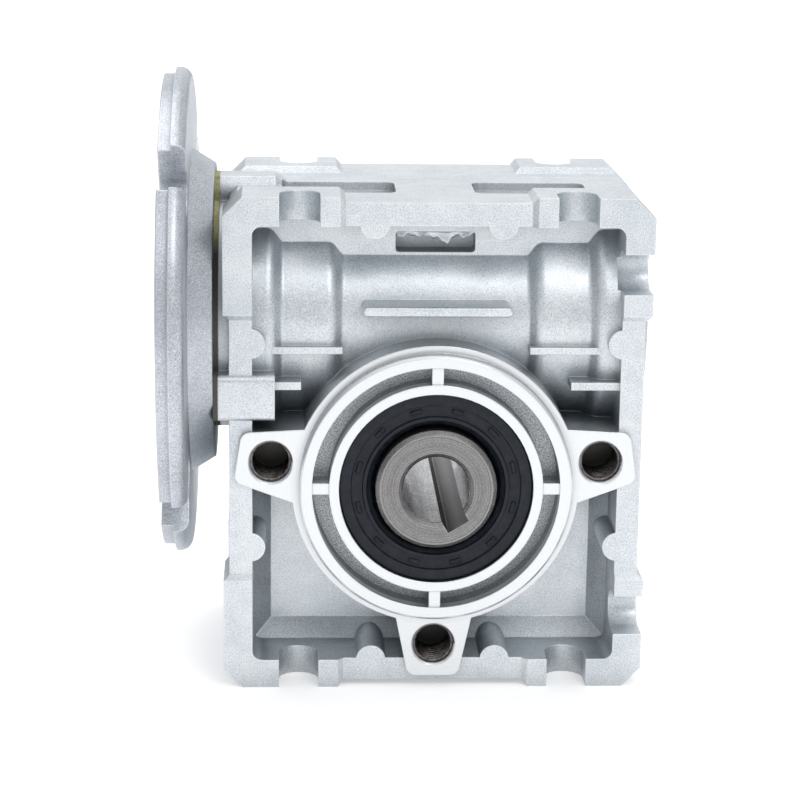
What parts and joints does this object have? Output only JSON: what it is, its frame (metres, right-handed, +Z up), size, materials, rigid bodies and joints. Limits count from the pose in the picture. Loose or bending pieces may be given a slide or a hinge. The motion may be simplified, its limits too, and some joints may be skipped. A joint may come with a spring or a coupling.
{
  "type": "worm gearbox",
  "caption": "Right-angle worm gearbox: die-cast casing with mounting slots, hollow keyed output shaft with seals, worm and bronze wheel inside, round motor flange on the side.",
  "frame": {"origin": "on the output shaft's axis, midway between its two ends", "axes": "-Y out of the front along the output bore, +X along the worm axis away from the motor flange, +Z up from the feet"},
  "size_m": [0.08, 0.082, 0.101],
  "materials": {
    "cast_aluminium": "shot-blasted die casting",
    "machined_aluminium": "blasted casting with turned faces",
    "turned_steel": "turned steel",
    "bearing_steel": "ground and polished",
    "zinc_steel": "zinc plated",
    "spring_steel": "phosphated",
    "cage": "pressed steel",
    "bronze": "hobbed bronze",
    "seal_rubber": "moulded nitrile rubber",
    "gasket": "sealing sheet"
  },
  "bodies": {
    "casing": {"housing": "cast_aluminium", "side_cover": "cast_aluminium", "cover_o_ring": "seal_rubber", "cover_screws": "zinc_steel", "end_cap": "seal_rubber", "motor_flange": "machined_aluminium", "flange_gasket": "gasket", "flange_screws": "zinc_steel", "front_seal": "seal_rubber", "rear_seal": "seal_rubber", "input_seal": "seal_rubber", "input_circlip": "spring_steel", "end_circlip": "spring_steel", "front_bearing_outer_race": "bearing_steel", "rear_bearing_outer_race": "bearing_steel", "input_bearing_outer_race": "bearing_steel", "end_bearing_outer_race": "bearing_steel"},
    "output": {"output_shaft": "turned_steel", "worm_wheel_rim": "bronze", "front_bearing_inner_race": "bearing_steel", "rear_bearing_inner_race": "bearing_steel"},
    "worm": {"worm_shaft": "turned_steel", "input_bearing_inner_race": "bearing_steel", "end_bearing_inner_race": "bearing_steel"},
    "front_cage": {"front_bearing_cage": "cage", "front_bearing_balls": "bearing_steel"},
    "rear_cage": {"rear_bearing_cage": "cage", "rear_bearing_balls": "bearing_steel"},
    "input_cage": {"input_bearing_cage": "cage", "input_bearing_balls": "bearing_steel"},
    "end_cage": {"end_bearing_cage": "cage", "end_bearing_balls": "bearing_steel"}
  },
  "joints": [
    {"name": "output_spin", "type": "hinge", "parent": "casing", "child": "output", "pos_m": [0, 0, 0], "axis": [0, 1, 0], "continuous": true},
    {"name": "worm_spin", "type": "hinge", "parent": "casing", "child": "worm", "pos_m": [0, 0, 0.025], "axis": [1, 0, 0], "continuous": true},
    {"name": "front_cage_spin", "type": "hinge", "parent": "casing", "child": "front_cage", "pos_m": [0, -0.013, 0], "axis": [0, 1, 0], "continuous": true},
    {"name": "rear_cage_spin", "type": "hinge", "parent": "casing", "child": "rear_cage", "pos_m": [0, 0.013, 0], "axis": [0, 1, 0], "continuous": true},
    {"name": "input_cage_spin", "type": "hinge", "parent": "casing", "child": "input_cage", "pos_m": [-0.0225, 0, 0.025], "axis": [1, 0, 0], "continuous": true},
    {"name": "end_cage_spin", "type": "hinge", "parent": "casing", "child": "end_cage", "pos_m": [0.023, 0, 0.025], "axis": [1, 0, 0], "continuous": true}
  ],
  "couplings": [
    {"joint": "worm_spin", "follows": "output_spin", "ratio": -30},
    {"joint": "front_cage_spin", "follows": "output_spin", "ratio": 0.40351},
    {"joint": "rear_cage_spin", "follows": "output_spin", "ratio": 0.40351},
    {"joint": "input_cage_spin", "follows": "output_spin", "ratio": -12.511},
    {"joint": "end_cage_spin", "follows": "output_spin", "ratio": -11.033}
  ]
}
